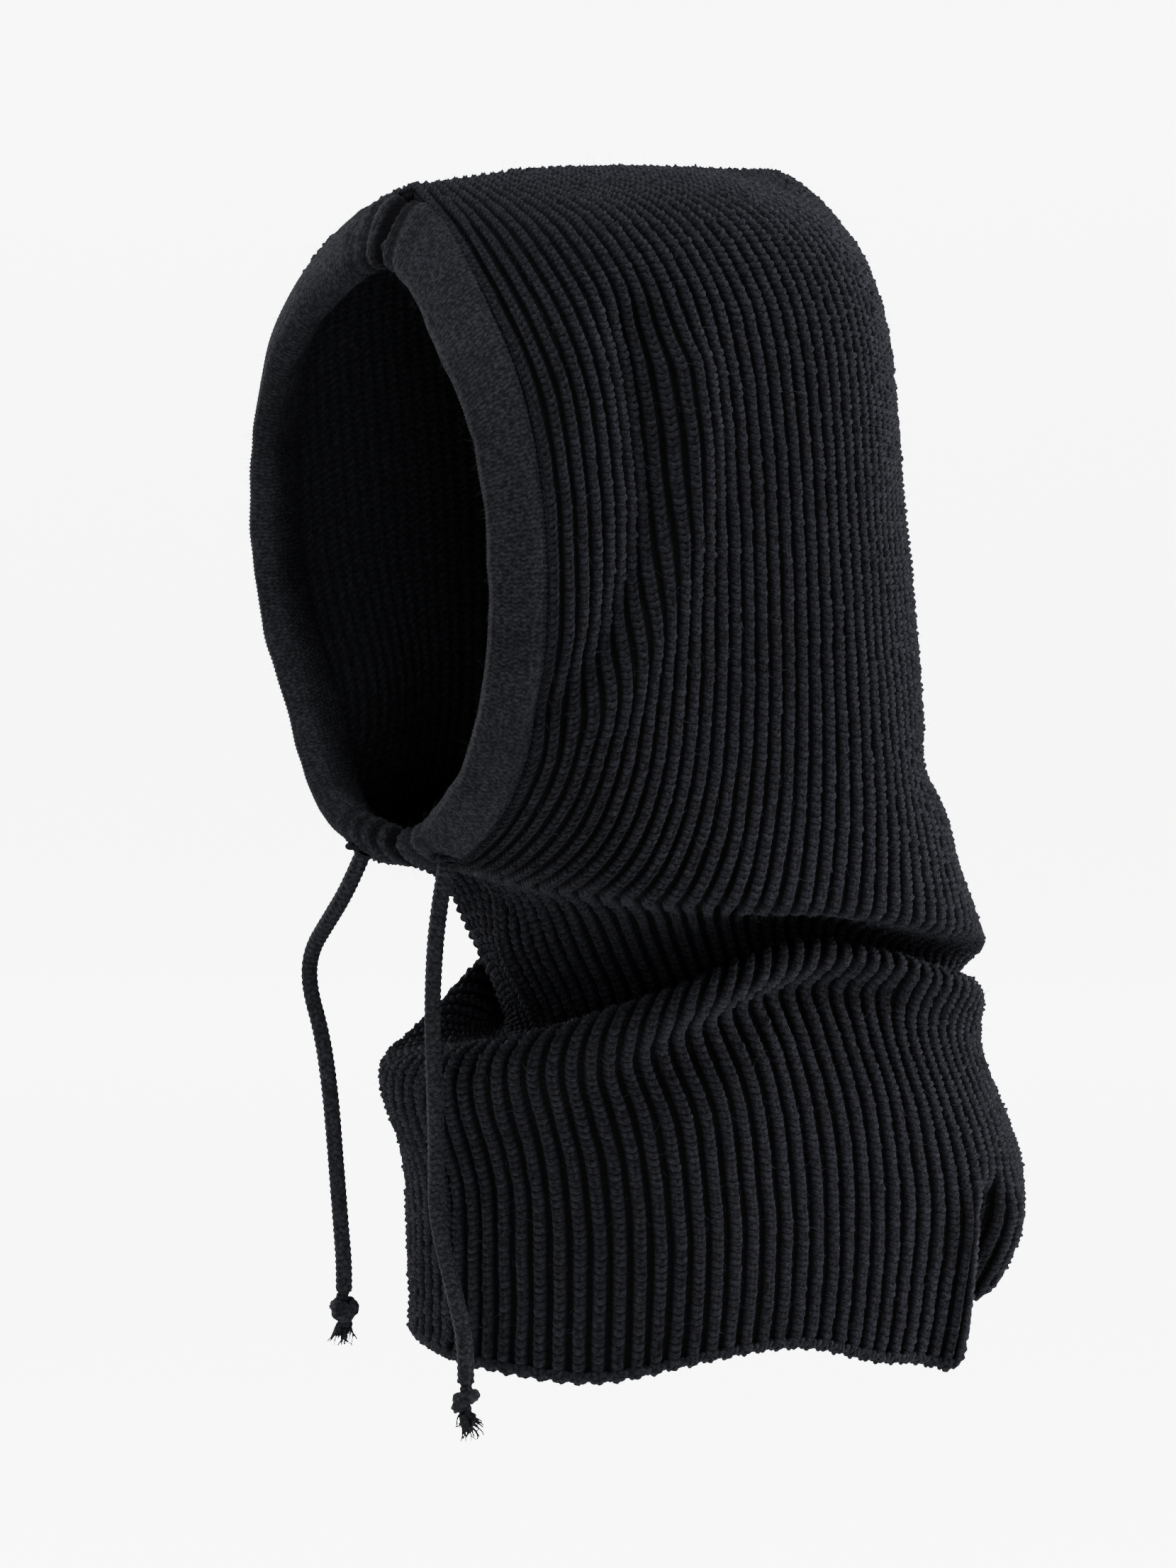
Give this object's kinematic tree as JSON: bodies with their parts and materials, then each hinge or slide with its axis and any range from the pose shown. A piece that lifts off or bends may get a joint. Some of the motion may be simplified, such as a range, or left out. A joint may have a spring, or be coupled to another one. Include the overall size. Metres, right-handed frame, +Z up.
{
  "type": "balaclava",
  "caption": "Hooded rib-knit balaclava with an oval face opening edged by a drawstring casing, a folded neck and a slouched cowl that ends in a bib.",
  "frame": {"origin": "middle of the head space, level with the middle of the face opening, on the symmetry plane", "axes": "+Z up, the face opening looks along -Y, +X is the wearer's left"},
  "size_m": [0.1736, 0.2671, 0.4044],
  "materials": {
    "rib_knit": "chunky 1x1 rib knit, charcoal black wool blend, matt and slightly fuzzy",
    "casing_knit": "fine plain knit, charcoal black, matt and fuzzy",
    "seam_yarn": "linking yarn, charcoal black, matt",
    "drawstring_cord": "round knitted wool cord, charcoal black, matt and fuzzy"
  },
  "bodies": {
    "garment": {"hood_knit_left": "rib_knit", "hood_knit_right": "rib_knit", "neck_knit_left": "rib_knit", "neck_knit_right": "rib_knit", "cowl_knit_left": "rib_knit", "cowl_knit_right": "rib_knit", "face_casing": "casing_knit", "centre_back_seam": "seam_yarn", "throat_seam": "seam_yarn", "casing_linking_seam": "seam_yarn", "hem_bind_off": "seam_yarn", "eyelet_left": "seam_yarn", "eyelet_right": "seam_yarn", "drawstring_in_casing": "drawstring_cord"},
    "left_cord_end": {"drawstring_tail_left": "drawstring_cord", "end_knot_left": "drawstring_cord", "frayed_end_left": "drawstring_cord"},
    "right_cord_end": {"drawstring_tail_right": "drawstring_cord", "end_knot_right": "drawstring_cord", "frayed_end_right": "drawstring_cord"}
  },
  "joints": [
    {"name": "left_cord_swing", "type": "hinge", "parent": "garment", "child": "left_cord_end", "pos_m": [0.023, -0.0685, -0.0995], "axis": [-1, 0, 0], "range_deg": [-3, 60]},
    {"name": "right_cord_swing", "type": "hinge", "parent": "garment", "child": "right_cord_end", "pos_m": [-0.023, -0.0685, -0.0995], "axis": [-1, 0, 0], "range_deg": [-3, 60]}
  ]
}
